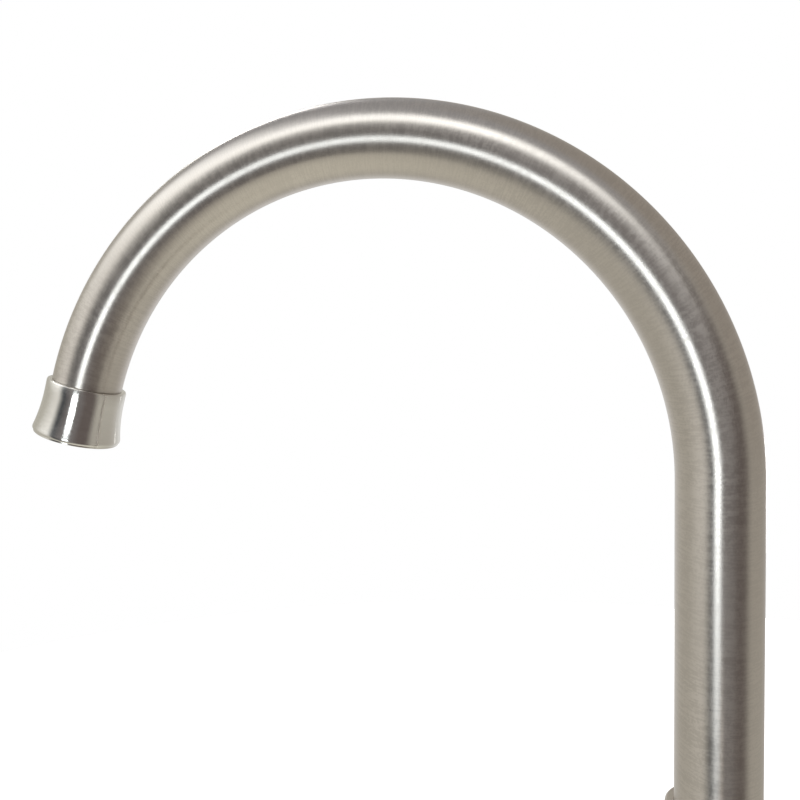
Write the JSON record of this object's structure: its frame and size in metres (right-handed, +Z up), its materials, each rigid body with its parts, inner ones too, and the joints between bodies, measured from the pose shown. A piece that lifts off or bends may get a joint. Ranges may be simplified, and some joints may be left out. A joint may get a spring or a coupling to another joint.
{
  "type": "bar faucet",
  "caption": "Gooseneck bar faucet with a swivelling bent-tube spout, flared aerator ring, side lever mixer and a threaded shank for deck mounting.",
  "frame": {"origin": "centre of the base ring on the surface of the deck", "axes": "+Z up, the spout reaches towards -Y, the lever stands on the +X side"},
  "size_m": [0.091, 0.2061, 0.3275],
  "materials": {
    "brushed_nickel": "satin, brushed around the axis",
    "polished_nickel": "polished",
    "brass": "machined",
    "steel": "machined",
    "rubber": "moulded",
    "white_plastic": "moulded",
    "grey_plastic": "moulded",
    "ceramic": "lapped",
    "index_enamel": "enamel"
  },
  "bodies": {
    "base": {"body": "brushed_nickel", "hub_retaining_screw": "steel", "base_ring": "brushed_nickel", "base_gasket": "rubber", "mounting_shank": "brass", "deck_gasket": "rubber", "deck_washer": "steel", "mounting_nut": "brass", "cartridge_housing": "white_plastic", "cartridge_base": "white_plastic", "port_seals": "rubber", "fixed_disc": "ceramic", "cartridge_nut": "brass", "dome_cap": "brushed_nickel", "glide_ring": "white_plastic"},
    "spout": {"spout_tube": "brushed_nickel", "spout_collar": "brushed_nickel", "spout_hub": "brass", "hub_o_rings": "rubber", "outlet_nipple": "brass", "aerator_ring": "polished_nickel", "aerator_washer": "rubber", "aerator_screen": "steel", "flow_straightener": "grey_plastic"},
    "mixer": {"turret": "grey_plastic", "pivot_pin": "steel"},
    "slider": {"moving_disc": "ceramic", "disc_carrier": "white_plastic"},
    "lever": {"stem": "brass", "handle": "brushed_nickel", "handle_screw": "steel", "index_button": "index_enamel"}
  },
  "joints": [
    {"name": "spout_swivel", "type": "hinge", "parent": "base", "child": "spout", "pos_m": [0, 0, 0.096], "axis": [0, 0, 1], "continuous": true},
    {"name": "lever_turn", "type": "hinge", "parent": "base", "child": "mixer", "pos_m": [0.03045, 0, 0.046], "axis": [1, 0, 0], "range_deg": [-45, 45]},
    {"name": "lever_lift", "type": "hinge", "parent": "mixer", "child": "lever", "pos_m": [0.03045, 0, 0.046], "axis": [0, 1, 0], "range_deg": [0, 22]},
    {"name": "disc_slide", "type": "slide", "parent": "mixer", "child": "slider", "axis": [0, 0, 1], "range_m": [0, 0.00401]}
  ],
  "couplings": [
    {"joint": "disc_slide", "follows": "lever_lift", "m_per_rad": 0.010436}
  ]
}
